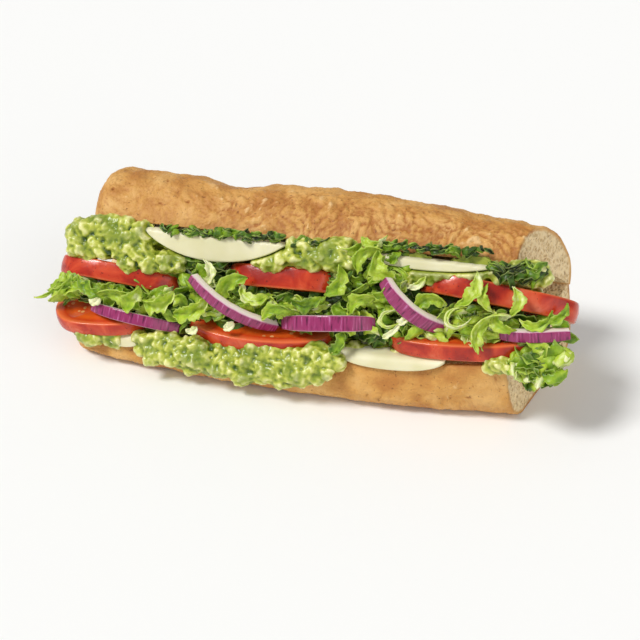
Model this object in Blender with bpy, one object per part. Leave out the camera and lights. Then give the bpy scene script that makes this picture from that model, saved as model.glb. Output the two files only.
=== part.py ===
"""Avocado sandwich: an open sub roll with mashed avocado, cheese, tomato, red onion and lettuce.

The roll lies along X with its open side towards -Y. The top half leans back on the fillings,
which show as a sloping front face between the two rims. Lengths are in millimetres and become
metres when a mesh is made.
"""

import math
import random

import bmesh
import bpy
from mathutils import Matrix, Vector, noise

MM = 0.001
CLEARANCE = 0.70  # how far a soft filling is cut back from the firm pieces in it
CORE_CLEARANCE = 1.5  # the same for the mash against the middle of the lettuce

# Roll: the halves' front edges, their slopes along X, and the slanting right-hand cut
ROLL_FRONT_Y = -38.0
ROLL_DEPTH = 65.0
RIM_HEIGHT, RIM_RISE = 20.0, 0.085
TOP_EDGE_Y, TOP_EDGE_HEIGHT, TOP_EDGE_RISE = -14.0, 61.0, 0.035
TOP_TILT = math.radians(40)
TOP_WIDTH, TOP_THICKNESS = 54.0, 27.0
HINGE_GAP = 0.8
BOTTOM_CUT_X, BOTTOM_CUT_SLANT = 88.0, 0.27
TOP_CUT_X, TOP_CUT_SLANT = 86.0, 0.38
CUT_LEAN = 5.0  # how far the bottom half's cut stands out at its base
BOTTOM_LEFT_X, TOP_LEFT_X = -105.0, -101.0
BASE_SQUARENESS, DOME_SQUARENESS = 5.0, 2.25
BELLY = 9.0  # how far the bottom half's front wall bows out at its base
LIP = 2.5  # how much higher its rim stands under the last tomato slice
CUT_FACE_SAG = 5.0
CRUST_RELIEF = 0.9
LEFT_ROUNDING = 0.08  # the share of the length that the round left end takes

# Fillings
ONION_WALL = 4.0
CHEESE_THICKNESS = 2.2
LEAF_THICKNESS = 1.1
SHRED_THICKNESS = 1.7
AVOCADO_GRAIN, LETTUCE_GRAIN = 2.0, 0.85

# Where the mash stands out in lumps: x from and to, height up the front from and to, how far out
# of the front, and how many lumps
LOWER_MOUNDS = [
    (-98, -80, -1, 4, 1.0, 8),
    (-70, 20, -4, 2, 2.5, 56),
    (-64, -34, -8, -3, 3.0, 26),
    (-46, -35, -11, -7, 3.0, 9),
    (-27, 16, -12, -3, 3.0, 42),
]
UPPER_MOUNDS = [
    (-104, -72, 36, 48, 2.0, 64),
    (-80, -54, 32, 37, 1.5, 24),
    (-22, -8, 37, 41, 1.5, 8),
    (-8, 20, 39, 47, 2.0, 24),
    (40, 56, 35, 42, 1.5, 12),
    (56, 98, 38, 43, 1.5, 32),
]

# Where the lettuce shows its shreds: x from and to, height up the front from and to, how far out
# of the front, how many shreds, and their length
HEAP_SHREDS = [
    (-104, -55, 11, 24, 0.0, 14, 17),
    (-52, 16, 14, 27, 0.0, 14, 16),
    (20, 42, 28, 43, 0.0, 10, 13),
    (34, 106, 12, 23, 0.0, 16, 17),
]
DARK_SHREDS = [(80, 90, 37, 41, 3.5, 5, 10)]

BACKWARD = Vector((0, math.cos(TOP_TILT), -math.sin(TOP_TILT)))
OUTWARD = Vector((0, math.sin(TOP_TILT), math.cos(TOP_TILT)))


def clear_scene():
    for obj in list(bpy.data.objects):
        bpy.data.objects.remove(obj, do_unlink=True)


def material(name, colour, roughness):
    """A Principled surface in one sRGB colour, given as a hex string."""
    made = bpy.data.materials.new(name)
    made.use_nodes = True
    shader = made.node_tree.nodes["Principled BSDF"]
    parts = [int(colour[i : i + 2], 16) / 255 for i in (0, 2, 4)]
    linear = [c / 12.92 if c <= 0.04045 else ((c + 0.055) / 1.055) ** 2.4 for c in parts]
    shader.inputs["Base Color"].default_value = (*linear, 1)
    shader.inputs["Roughness"].default_value = roughness
    shader.inputs["Metallic"].default_value = 0.0
    return made


def add_object(name, bm, look):
    """The object that holds a bmesh made in millimetres."""
    bmesh.ops.recalc_face_normals(bm, faces=bm.faces)
    mesh = bpy.data.meshes.new(name)
    bm.to_mesh(mesh)
    bm.free()
    mesh.transform(Matrix.Diagonal((MM, MM, MM, 1)))
    mesh.materials.append(look)
    mesh.shade_smooth()
    obj = bpy.data.objects.new(name, mesh)
    bpy.context.scene.collection.objects.link(obj)
    return obj


def smooth_step(value, low, high):
    t = min(max((value - low) / (high - low), 0.0), 1.0)
    return t * t * (3 - 2 * t)


def rolled(along, around, place):
    """A grid rolled into a closed body: place(u, v) has u in 0..1 along it and v in 0..1 round it."""
    bm = bmesh.new()
    bmesh.ops.create_grid(bm, x_segments=along, y_segments=around, size=0.5)
    for vert in bm.verts:
        vert.co = place(vert.co.x + 0.5, vert.co.y + 0.5)
    bmesh.ops.remove_doubles(bm, verts=bm.verts, dist=0.001)
    rims = [edge for edge in bm.edges if edge.is_boundary]
    bmesh.ops.holes_fill(bm, edges=rims, sides=0)
    return bm


def sheet(along, across, thickness, place):
    """A thin wavy solid: place(u, v) gives its middle surface, split alike on both faces."""
    bm = bmesh.new()
    bmesh.ops.create_grid(bm, x_segments=along, y_segments=across, size=0.5)
    for vert in bm.verts:
        vert.co = place(vert.co.x + 0.5, vert.co.y + 0.5)
    bmesh.ops.triangulate(bm, faces=bm.faces)
    bmesh.ops.recalc_face_normals(bm, faces=bm.faces)
    bm.normal_update()
    for vert in bm.verts:
        vert.co += vert.normal * thickness / 2
    bmesh.ops.solidify(bm, geom=bm.faces[:], thickness=thickness)
    return bm


def rim_height(x):
    return RIM_HEIGHT + RIM_RISE * x


def lip(x):
    """How much higher than that the bread's rim stands."""
    return LIP * smooth_step(x, 50, 86)


def belly(x):
    """How far the bottom half's front wall bows out at its base, most near its middle."""
    return BELLY * max(1 - ((x + 8) / 98) ** 2, 0.0)


def top_edge(x):
    return Vector((x, TOP_EDGE_Y, TOP_EDGE_HEIGHT + TOP_EDGE_RISE * x))


def top_width(x):
    return TOP_WIDTH - 4.0 * max(x / TOP_CUT_X, 0) ** 2


def cut_face(x, y, sag=CUT_FACE_SAG):
    """The height of the bottom half's cut face, from its front rim back to the hinge."""
    share = (y - ROLL_FRONT_Y) / ROLL_DEPTH
    hinge = (top_edge(x) + BACKWARD * top_width(x)).z - HINGE_GAP
    rim = rim_height(x) + lip(x)
    return rim + (hinge - rim) * share - sag * 4 * share * (1 - share)


def top_thickness(x):
    """The top half thins towards the cut end and has a soft dip left of the middle."""
    thinning = 6.5 * max(x / TOP_CUT_X, 0) ** 1.6
    return TOP_THICKNESS - thinning - 5.0 * math.exp(-(((x + 35) / 14) ** 2))


def front(x, up, out=0.0):
    """A point on the open front: up mm above the bottom half's rim, out mm in front of the slope."""
    rim = Vector((x, ROLL_FRONT_Y, rim_height(x)))
    slope = (top_edge(x) - rim).normalized()
    normal = Vector((0, -slope.z, slope.y))
    return rim + slope * up + normal * out


def station(u):
    """How far along the roll grid line u lies, and how full its section is at the round left end."""
    share = 0.2
    if u >= share:
        return LEFT_ROUNDING + (u - share) / (1 - share) * (1 - LEFT_ROUNDING), 1.0
    angle = math.pi / 2 * u / share
    return LEFT_ROUNDING * (1 - math.cos(angle)), math.sin(angle) ** 0.75


def crust_relief(point, outward, angle):
    """Low wrinkles and blisters of the baked crust, which fade out at the cut rims."""
    low = noise.noise(Vector((point.x * 0.05, point.y * 0.09, point.z * 0.09)))
    fine = noise.noise(point * 0.16 + Vector((7, 3, 5)))
    strength = CRUST_RELIEF * min(1.0, 2.5 * math.sin(angle))
    return point + outward * strength * (1.1 * low + 0.8 * fine)


def side_curve(v, outer_share, squareness):
    """Where grid line v lies round a half of the roll: across is -1 at the front and 1 at the back,
    bulge is 0 on the cut face and 1 where the crust is furthest from it, angle is 0 on the cut face."""
    if v > outer_share:
        return 1 - 2 * (v - outer_share) / (1 - outer_share), 0.0, 0.0
    angle = math.pi * v / outer_share
    across = -math.copysign(abs(math.cos(angle)) ** (2 / squareness), math.cos(angle))
    return across, abs(math.sin(angle)) ** (2 / squareness), angle


def bottom_half(look):
    """Flat base, bulging side walls, and a cut face that sags under the fillings."""
    centre_y = ROLL_FRONT_Y + ROLL_DEPTH / 2

    def place(u, v):
        across, below, angle = side_curve(v, 0.68, BASE_SQUARENESS)
        along, fullness = station(u)
        drop = min(1.03 * below, 1.0)
        y = centre_y + across * ROLL_DEPTH / 2
        cut = BOTTOM_CUT_X + BOTTOM_CUT_SLANT * (y - ROLL_FRONT_Y) + CUT_LEAN * drop
        x = BOTTOM_LEFT_X + (cut - BOTTOM_LEFT_X) * along
        point = Vector((x, y, cut_face(x, y)))
        if angle > 0:
            point.z = cut_face(x, y, sag=0) * (1 - drop)
            point.y -= belly(x) * math.sqrt(drop) * (1 - across) / 2
        if angle > 0 and point.z > 0:
            point = crust_relief(point, Vector((0, across, -0.2 * below)), angle)
            point.z = max(point.z, 0.0)
        middle = Vector((x, centre_y, 0.42 * rim_height(x)))
        return middle + (point - middle) * fullness

    return add_object("bread_bottom", rolled(26, 23, place), look)


def top_half(look):
    """A dome on a cut face that leans back from the front edge to the hinge side."""

    def place(u, v):
        across, above, angle = side_curve(v, 0.7, DOME_SQUARENESS)
        along, fullness = station(u)
        cut = TOP_CUT_X + TOP_CUT_SLANT * (across + 1) / 2 * TOP_WIDTH
        x = TOP_LEFT_X + (cut - TOP_LEFT_X) * along
        width, thickness = top_width(x), top_thickness(x)
        middle = top_edge(x) + BACKWARD * width / 2
        point = middle + BACKWARD * (across * width / 2) + OUTWARD * above * thickness
        if angle == 0:
            point += OUTWARD * 1.5 * (1 - across * across)
        else:
            point = crust_relief(point, BACKWARD * across + OUTWARD * above, angle)
        heart = middle + OUTWARD * 0.42 * thickness
        return heart + (point - heart) * fullness

    return add_object("bread_top", rolled(26, 23, place), look)


def tilted_axes(tilt, turn):
    """The side, back and upward directions of a piece whose back is lowered by tilt and right by turn."""
    back = Vector((0, math.cos(math.radians(tilt)), -math.sin(math.radians(tilt))))
    side = Vector((math.cos(math.radians(turn)), 0, -math.sin(math.radians(turn))))
    return side, back, side.cross(back).normalized()


def blunt(angle, squareness=2.5):
    """A point on a slightly squared unit oval."""
    c, s = math.cos(angle), math.sin(angle)
    return (
        math.copysign(abs(c) ** (2 / squareness), c),
        math.copysign(abs(s) ** (2 / squareness), s),
    )


def tomato_slice(name, look, x, up, out, half_length, half_depth, thickness, tilt, turn):
    """An oval slice with a rounded skin edge, whose front-most point stands at x, up and out."""
    side, back, normal = tilted_axes(tilt, turn)
    heart = front(x, up, out) + back * half_depth
    profile = [(0, 0.5), (0.62, 0.5), (0.94, 0.44), (1, 0), (0.94, -0.44), (0.62, -0.5), (0, -0.5)]

    def place(u, v):
        size, rise = profile[round(u * (len(profile) - 1))]
        angle = 2 * math.pi * v
        lobes = 1 + 0.02 * math.cos(3 * angle + x) + 0.012 * math.cos(5 * angle + 2 * x)
        across, deep = blunt(angle)
        around = side * half_length * across + back * half_depth * deep
        return heart + around * size * lobes + normal * rise * thickness

    return add_object(name, rolled(len(profile) - 1, 24, place), look)


def onion_arc(name, look, x, up, out, radius, half_angle, band, tilt, turn):
    """A piece of an onion ring, band mm high, bowed towards the front, with flat cut ends."""
    side, back, normal = tilted_axes(tilt, turn)
    heart = front(x, up, out) + back * radius
    corners = [(1, 0.32), (1, -0.32), (0.75, -0.5), (0.25, -0.5), (0, -0.35), (0, 0.35), (0.25, 0.5)]
    corners.append((0.75, 0.5))

    def place(u, v):
        angle = math.radians(half_angle) * (2 * u - 1)
        depth, rise = corners[round(v * len(corners)) % len(corners)]
        taper = 1 - 0.25 * abs(2 * u - 1) ** 4
        out_from_middle = side * math.sin(angle) - back * math.cos(angle)
        reach = radius - ONION_WALL * (1 - depth)
        return heart + out_from_middle * reach + normal * rise * band * taper

    return add_object(name, rolled(9, len(corners), place), look)


def upper_cheese(name, look, x, half_length, droop):
    """A thin slice tucked under the top half's edge, with a bowed free edge hanging in front."""

    def place(u, v):
        along = 2 * u - 1
        here = x + half_length * along
        free = droop * math.sqrt(max(1 - along * along, 0.02))
        inner = 14.0
        travel = v * (inner + free)
        wave = 0.5 * math.sin(5 * along + x)
        if travel < inner:
            return top_edge(here) + BACKWARD * (inner - travel) - OUTWARD * (2.2 + 0.3 * wave)
        hang = travel - inner
        return front(here, (top_edge(here) - front(here, 0)).length - 2.0 - hang, 3.2 + wave)

    return add_object(name, sheet(10, 5, CHEESE_THICKNESS, place), look)


def lower_cheese(name, look, x, half_length, droop):
    """A thin slice on the bottom half's cut face, with a bowed free edge hanging over its rim."""

    def place(u, v):
        along = 2 * u - 1
        here = x + half_length * along
        free = droop * math.sqrt(max(1 - along * along, 0.02))
        inner = 8.0
        travel = v * (inner + free)
        height = rim_height(here) + lip(here) + 1.8
        if travel < inner:
            return Vector((here, ROLL_FRONT_Y + inner - travel, height))
        hang = travel - inner
        ahead = 3.0 * smooth_step(hang, 0, 3) + 0.25 * hang
        return Vector((here, ROLL_FRONT_Y - ahead, height - 0.9 * hang))

    return add_object(name, sheet(8, 5, CHEESE_THICKNESS, place), look)


def end_leaf(name, look):
    """The ruffled leaf that hangs over the bottom half at the cut end."""

    def place(u, v):
        x = 86.0 + 25.0 * u
        ruffle = 2.6 * math.sin(9.5 * u + 1.0) * v + 1.2 * math.sin(17 * u) * v
        up = 11.5 - 15.0 * v * (0.75 + 0.4 * math.sin(3.1 * u)) + 1.0 * math.sin(12 * u)
        return front(x, up, 2.2 + 3.0 * v + ruffle)

    return add_object(name, sheet(14, 4, LEAF_THICKNESS, place), look)


def applied(obj):
    """Replaces an object's mesh by what its modifiers make of it."""
    bpy.context.view_layer.update()
    graph = bpy.context.evaluated_depsgraph_get()
    made = bpy.data.meshes.new_from_object(obj.evaluated_get(graph), depsgraph=graph)
    obj.modifiers.clear()
    obj.data = made
    return obj


def islands(bm):
    """The connected bodies of a mesh, each as a list of faces."""
    left, found = set(bm.faces), []
    while left:
        body, edge_of = [], [left.pop()]
        while edge_of:
            face = edge_of.pop()
            body.append(face)
            for edge in face.edges:
                for other in edge.link_faces:
                    if other in left:
                        left.discard(other)
                        edge_of.append(other)
        found.append(body)
    return found


def body_volume(faces):
    total = 0.0
    for face in faces:
        first = face.verts[0].co
        for a, b in zip(face.verts[1:-1], face.verts[2:]):
            total += first.dot(a.co.cross(b.co)) / 6
    return total


def keep_largest(obj):
    """Drops loose scraps and fills sealed hollows."""
    bm = bmesh.new()
    bm.from_mesh(obj.data)
    bodies = sorted(islands(bm), key=body_volume)
    for body in bodies[:-1]:
        bmesh.ops.delete(bm, geom=body, context="FACES")
    bmesh.ops.delete(bm, geom=[v for v in bm.verts if not v.link_faces], context="VERTS")
    bm.to_mesh(obj.data)
    bm.free()
    return obj


def swollen_copy(obj, by):
    """A copy grown by a few tenths of a millimetre all round, to cut with."""
    mesh = obj.data.copy()
    normals = [vert.normal.copy() for vert in mesh.vertices]
    for vert, normal in zip(mesh.vertices, normals):
        vert.co += normal * by * MM
    return bpy.data.objects.new(obj.name + "_cutter", mesh)


def combine(obj, others, operation):
    """One Boolean on a collection of the other objects, which are then removed."""
    group = bpy.data.collections.new("combined")
    for other in others:
        group.objects.link(other)
    boolean = obj.modifiers.new("combine", "BOOLEAN")
    boolean.operation = operation
    boolean.operand_type = "COLLECTION"
    boolean.solver = "MANIFOLD"
    boolean.collection = group
    bpy.context.scene.collection.children.link(group)
    applied(obj)
    for other in others:
        bpy.data.objects.remove(other, do_unlink=True)
    bpy.data.collections.remove(group)
    return obj


def cut_clear(obj, pieces, gap=CLEARANCE):
    """Cuts a soft filling back from the firm pieces that lie in it."""
    combine(obj, [swollen_copy(piece, gap) for piece in pieces], "DIFFERENCE")
    return keep_largest(obj)


def add_mesh(bm, extra):
    """Adds one bmesh's faces to another and frees it."""
    mesh = bpy.data.meshes.new("extra")
    extra.to_mesh(mesh)
    extra.free()
    bm.from_mesh(mesh)
    bpy.data.meshes.remove(mesh)


def melted(name, look, bm, grain, faces):
    """One closed body through everything in a bmesh, in about this many triangles."""
    obj = add_object(name, bm, look)
    remesh = obj.modifiers.new("melt", "REMESH")
    remesh.mode = "VOXEL"
    remesh.voxel_size = grain * MM
    applied(obj)
    thin = obj.modifiers.new("thin", "DECIMATE")
    thin.ratio = faces / (2 * len(obj.data.polygons))
    applied(obj)
    obj.data.materials.clear()
    obj.data.materials.append(look)
    return keep_largest(obj)


def mash(name, look, bed, mounds, faces, seed):
    """Mashed avocado: a bed with mounds of small lumps, melted into one body."""
    draw = random.Random(seed)
    bm = rolled(30, 10, bed)
    for x0, x1, up0, up1, out, count in mounds:
        for _ in range(count):
            x, up = draw.uniform(x0, x1), draw.uniform(up0, up1)
            spot = front(x, up, out + draw.uniform(-1.0, 1.2))
            turn = Matrix.Translation(spot) @ Matrix.Rotation(draw.uniform(0, 3), 4, "X")
            size = draw.uniform(2.6, 4.4)
            stretch = Matrix.Diagonal((size * draw.uniform(1, 1.5), size, size, 1))
            bmesh.ops.create_icosphere(bm, subdivisions=1, radius=1, matrix=turn @ stretch)
    return melted(name, look, bm, AVOCADO_GRAIN, faces)


def oval(v):
    return math.cos(2 * math.pi * v), math.sin(2 * math.pi * v)


def upper_bed(u, v):
    """The mash spread under the top half, from its front edge back towards the hinge."""
    x = -99.0 + 196.0 * u
    across, rise = oval(v)
    fullness = min(1.0, 6.0 * u + 0.3, 6.0 * (1 - u) + 0.3)
    middle = top_edge(x) + BACKWARD * 19 - OUTWARD * 6.6
    return middle + BACKWARD * across * 19.5 * fullness + OUTWARD * rise * 4.4 * fullness


def lower_bed(u, v):
    """The mash on the bottom half's cut face."""
    x = -97.0 + 186.0 * u
    across, rise = oval(v)
    fullness = min(1.0, 6.0 * u + 0.3, 6.0 * (1 - u) + 0.3)
    y = -14.0 + 22.0 * across * fullness
    return Vector((x, y, cut_face(x, y) + 3.6 + 2.8 * rise * fullness))


def lettuce_core(u, v):
    """The middle of the heap, which fills the wedge between the mash layers."""
    x = -102.0 + 206.0 * u
    fullness = min(1.0, 7.0 * u + 0.35, 7.0 * (1 - u) + 0.35)
    corners = [
        front(x, 8.0, 1.0),
        front(x, 29.0 + 13.0 * math.exp(-(((x - 30) / 13) ** 2)), 1.0),
        top_edge(x) + BACKWARD * 38 - OUTWARD * 12.5,
        Vector((x, 10.0, cut_face(x, 10.0) + 4.0)),
    ]
    side, share = divmod(4 * (v % 1.0), 1.0)
    here, after = corners[int(side)], corners[(int(side) + 1) % 4]
    middle = sum(corners, Vector()) / 4
    return middle + (here + (after - here) * share - middle) * fullness


def dark_shred_core(u, v):
    """A slim bed for the dark shreds that peep out over the right-hand tomato slice."""
    across, rise = oval(v)
    fullness = math.sin(math.pi * u)
    reach = Vector((20.0 * (u - 0.5), 2.2 * across * fullness, 2.6 * rise * fullness))
    return front(85.0, 39.0, 4.5) + reach


def shreds(bm, draw, zones):
    """Thin wavy strips of leaf, laid over the front of the heap."""
    for x0, x1, up0, up1, out, count, length in zones:
        for _ in range(count):
            x, up = draw.uniform(x0, x1), draw.uniform(up0, up1)
            heading = draw.uniform(-0.6, 0.75)
            reach, width = draw.uniform(0.7, 1.2) * length, draw.uniform(2.6, 4.6)
            bow, lift = draw.uniform(-2.5, 2.5), draw.uniform(1.5, 5.0)
            phase, twist = draw.uniform(0, 6), draw.uniform(-0.5, 0.9)

            def place(u, v):
                s, w = (u - 0.5) * reach, (v - 0.5) * width * (1 - 0.5 * abs(2 * u - 1) ** 3)
                here = x + s * math.cos(heading) - w * math.sin(heading)
                height = up + s * math.sin(heading) + w * math.cos(heading)
                height += bow * (1 - (2 * u - 1) ** 2)
                stand = out + lift * (1 - (2 * u - 1) ** 2) + w * twist
                return front(here, height, stand + 0.6 * math.sin(6 * u + phase))

            add_mesh(bm, sheet(6, 1, SHRED_THICKNESS, place))


def lettuce(name, look, core, zones, faces, seed):
    """One heap: its core with the shreds that show fused on."""
    bm = rolled(20, 12, core)
    shreds(bm, random.Random(seed), zones)
    return melted(name, look, bm, LETTUCE_GRAIN, faces)


def stand_on_origin(objects):
    """Moves the sandwich so that the origin is under the middle of its bounding box."""
    corners = [vert.co for obj in objects for vert in obj.data.vertices]
    low = Vector(min(co[axis] for co in corners) for axis in range(3))
    high = Vector(max(co[axis] for co in corners) for axis in range(3))
    shift = Vector((-(low.x + high.x) / 2, -(low.y + high.y) / 2, -low.z))
    for obj in objects:
        obj.data.transform(Matrix.Translation(shift))


def main():
    clear_scene()
    crust = material("baked_crust", "C98D4E", 0.75)
    tomato = material("tomato_flesh", "C63A1C", 0.3)
    onion = material("red_onion", "A3417F", 0.35)
    cheese = material("white_cheese", "E6E6C8", 0.45)
    avocado = material("mashed_avocado", "9DB040", 0.4)
    leaf = material("shredded_lettuce", "7FA82A", 0.5)

    breads = [bottom_half(crust), top_half(crust)]
    slices = [
        tomato_slice("tomato_1", tomato, -83.0, 28.8, 5.0, 28.5, 11.0, 8.5, 40, 3),
        tomato_slice("tomato_2", tomato, -10.0, 32.0, 4.0, 24.5, 10.0, 9.5, 40, -4),
        tomato_slice("tomato_3", tomato, 80.5, 31.5, 5.0, 32.7, 11.0, 9.0, 40, 4),
        tomato_slice("tomato_4", tomato, -89.0, 3.2, 7.0, 23.0, 13.0, 6.5, -5, -6),
        tomato_slice("tomato_5", tomato, -18.0, 1.4, 6.0, 31.4, 15.0, 7.5, -4, -2),
        tomato_slice("tomato_6", tomato, 69.0, 6.0, 6.0, 32.0, 13.0, 7.4, 2, -7),
    ]
    arcs = [
        onion_arc("onion_1", onion, -72.2, 10.4, 10.8, 31.0, 41, 5.0, 33, 6),
        onion_arc("onion_2", onion, -27.8, 16.2, 13.2, 38.0, 34, 5.2, -2, 27),
        onion_arc("onion_3", onion, 13.0, 14.5, 10.8, 34.0, 37, 6.8, 33, -10),
        onion_arc("onion_4", onion, 49.3, 20.0, 12.9, 23.0, 50, 6.6, -1, 33),
        onion_arc("onion_5", onion, 98.2, 15.1, 9.1, 50.0, 16.5, 4.9, 8, -11),
    ]
    cheeses = [
        upper_cheese("cheese_1", cheese, -41.0, 32.0, 11.0),
        upper_cheese("cheese_2", cheese, 50.5, 26.0, 4.5),
        lower_cheese("cheese_3", cheese, -76.0, 9.0, 5.0),
        lower_cheese("cheese_4", cheese, 41.5, 22.0, 6.0),
    ]
    firm = breads + slices + arcs + cheeses
    end_piece = cut_clear(end_leaf("lettuce_end", leaf), firm)
    firm.append(end_piece)
    core = add_object("lettuce_middle", rolled(16, 8, lettuce_core), leaf)
    layers = [
        mash("avocado_lower", avocado, lower_bed, LOWER_MOUNDS, faces=620, seed=3),
        mash("avocado_upper", avocado, upper_bed, UPPER_MOUNDS, faces=860, seed=5),
    ]
    for layer in layers:
        cut_clear(layer, [core], CORE_CLEARANCE)
        cut_clear(layer, firm)
        firm.append(layer)
    bpy.data.objects.remove(core, do_unlink=True)
    heaps = [
        lettuce("lettuce_back", leaf, dark_shred_core, DARK_SHREDS, faces=220, seed=11),
        lettuce("lettuce_heap", leaf, lettuce_core, HEAP_SHREDS, faces=1700, seed=17),
    ]
    for heap in heaps:
        firm.append(cut_clear(heap, firm))
    stand_on_origin(firm)


main()
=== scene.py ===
"""The looks of an avocado sandwich: an open sub roll with mashed avocado, white cheese, tomato, red
onion and shredded lettuce. Each piece is an operator, and the sidebar's panel lists them all.

The piece functions work in millimetres, in the roll's own frame: the roll lies along X with its
open side towards -Y. finished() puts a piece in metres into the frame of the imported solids.
"""

import math
import random

import bmesh
import bpy
import numpy as np
from bpy.props import FloatProperty, FloatVectorProperty, IntProperty, PointerProperty
from mathutils import Matrix, Vector, noise


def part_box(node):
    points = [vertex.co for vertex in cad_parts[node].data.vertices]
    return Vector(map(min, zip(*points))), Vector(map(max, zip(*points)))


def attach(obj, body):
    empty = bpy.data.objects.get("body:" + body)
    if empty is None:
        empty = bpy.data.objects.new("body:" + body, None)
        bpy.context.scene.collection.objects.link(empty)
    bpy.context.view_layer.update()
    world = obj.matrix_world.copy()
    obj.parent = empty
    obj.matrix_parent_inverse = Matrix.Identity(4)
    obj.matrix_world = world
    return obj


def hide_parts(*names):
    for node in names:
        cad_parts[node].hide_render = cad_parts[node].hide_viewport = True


bl_info = {
    "name": "Avocado Sandwich",
    "version": (1, 0, 0),
    "blender": (4, 5, 0),
    "location": "View3D > Sidebar > Sandwich",
    "description": "Builds an open sub roll with mashed avocado, cheese, tomato, onion and lettuce",
    "category": "Add Mesh",
}

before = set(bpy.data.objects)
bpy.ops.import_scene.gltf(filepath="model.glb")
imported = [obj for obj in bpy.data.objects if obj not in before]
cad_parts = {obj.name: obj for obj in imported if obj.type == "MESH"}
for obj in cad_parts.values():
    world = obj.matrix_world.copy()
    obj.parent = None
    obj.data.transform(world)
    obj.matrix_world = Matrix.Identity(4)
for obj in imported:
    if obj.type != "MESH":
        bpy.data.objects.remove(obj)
MM = 0.001

# Blender moves its noise vectors by the clock unless they are seeded
noise.seed_set(4)

# The roll's driving sizes: its front rims, the lean of the top half and the slanting cut
ROLL_FRONT_Y, ROLL_DEPTH = -38.0, 65.0
RIM_HEIGHT, RIM_RISE = 20.0, 0.085
TOP_EDGE_Y, TOP_EDGE_HEIGHT, TOP_EDGE_RISE = -14.0, 61.0, 0.035
TOP_TILT = math.radians(40)
TOP_WIDTH, TOP_THICKNESS = 54.0, 27.0
HINGE_GAP = 0.8
BOTTOM_CUT_X, BOTTOM_CUT_SLANT = 88.0, 0.27
TOP_CUT_X, TOP_CUT_SLANT = 86.0, 0.38
CUT_LEAN = 5.0
BOTTOM_LEFT_X, TOP_LEFT_X = -105.0, -101.0
BASE_SQUARENESS, DOME_SQUARENESS = 5.0, 2.25
BELLY = 9.0
LIP = 2.5
CUT_FACE_SAG = 5.0
LEFT_ROUNDING = 0.05
ONION_WALL = 4.0

BACKWARD = Vector((0, math.cos(TOP_TILT), -math.sin(TOP_TILT)))
OUTWARD = Vector((0, math.sin(TOP_TILT), math.cos(TOP_TILT)))

# The roll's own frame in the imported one: the solids stand with their box centred on the origin
SHIFT = Vector((
    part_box("bread_bottom")[0].x - BOTTOM_LEFT_X * MM,
    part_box("bread_top")[0].y - TOP_EDGE_Y * MM,
    0.0,
))
TO_FRAME = Matrix.Translation(SHIFT) @ Matrix.Diagonal((MM, MM, MM, 1))


def linear(colour):
    """An sRGB hex string as linear red, green and blue."""
    parts = [int(colour[i : i + 2], 16) / 255 for i in (0, 2, 4)]
    return [c / 12.92 if c <= 0.04045 else ((c + 0.055) / 1.055) ** 2.4 for c in parts]


def smooth_step(value, low, high):
    t = min(max((value - low) / (high - low), 0.0), 1.0)
    return t * t * (3 - 2 * t)


# Forms of the roll that every piece is placed by
def rim_height(x):
    return RIM_HEIGHT + RIM_RISE * x


def lip(x):
    """How much higher than that the bread's rim stands."""
    return LIP * smooth_step(x, 50, 86)


def belly(x):
    """How far the bottom half's front wall bows out at its base, most near its middle."""
    return BELLY * max(1 - ((x + 8) / 98) ** 2, 0.0)


def top_edge(x):
    return Vector((x, TOP_EDGE_Y, TOP_EDGE_HEIGHT + TOP_EDGE_RISE * x))


def top_width(x):
    return TOP_WIDTH - 4.0 * max(x / TOP_CUT_X, 0) ** 2


def cut_face(x, y, sag=CUT_FACE_SAG):
    """The height of the bottom half's cut face, from its front rim back to the hinge."""
    share = (y - ROLL_FRONT_Y) / ROLL_DEPTH
    hinge = (top_edge(x) + BACKWARD * top_width(x)).z - HINGE_GAP
    rim = rim_height(x) + lip(x)
    return rim + (hinge - rim) * share - sag * 4 * share * (1 - share)


def top_thickness(x):
    """The top half thins towards the cut end and has a soft dip left of the middle."""
    thinning = 6.5 * max(x / TOP_CUT_X, 0) ** 1.6
    return TOP_THICKNESS - thinning - 3.8 * math.exp(-(((x + 42) / 13) ** 2))


def front_axes(x):
    """A point of the bottom half's rim, the way up the open front from it, and the way out."""
    rim = Vector((x, ROLL_FRONT_Y, rim_height(x)))
    slope = (top_edge(x) - rim).normalized()
    return rim, slope, Vector((0, -slope.z, slope.y))


def front(x, up, out=0.0):
    """A point on the open front: up mm above the bottom half's rim, out mm before the slope."""
    rim, slope, outward = front_axes(x)
    return rim + slope * up + outward * out


def on_front(point):
    """The reverse of front: how high up the open front a point stands, and how far out of it."""
    rim, slope, outward = front_axes(point.x)
    return (point - rim).dot(slope), (point - rim).dot(outward)


def front_height(x):
    """How far up the open front the top half's edge lies."""
    return (top_edge(x) - front(x, 0)).length


# Making and finishing meshes
def placed_grid(along, across, place, layers):
    """A grid that place(u, v) shapes: it gives a point, and a value for each named layer."""
    bm = bmesh.new()
    bmesh.ops.create_grid(bm, x_segments=along, y_segments=across, size=0.5)
    kept = [bm.verts.layers.float.new(name) for name in layers]
    for vert in bm.verts:
        vert.co, *values = place(vert.co.x + 0.5, vert.co.y + 0.5)
        for layer, value in zip(kept, values):
            vert[layer] = value
    return bm


def thin_sheet(along, across, place, *layers):
    """A sheet's middle surface, which a Solidify modifier gives its thickness."""
    bm = placed_grid(along, across, place, layers)
    bmesh.ops.recalc_face_normals(bm, faces=bm.faces)
    return bm


def rolled(along, around, place, *layers):
    """A grid rolled into a closed body."""
    bm = placed_grid(along, around, place, layers)
    bmesh.ops.remove_doubles(bm, verts=bm.verts, dist=0.001)
    bmesh.ops.holes_fill(bm, edges=[edge for edge in bm.edges if edge.is_boundary], sides=0)
    bmesh.ops.recalc_face_normals(bm, faces=bm.faces)
    return bm


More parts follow.
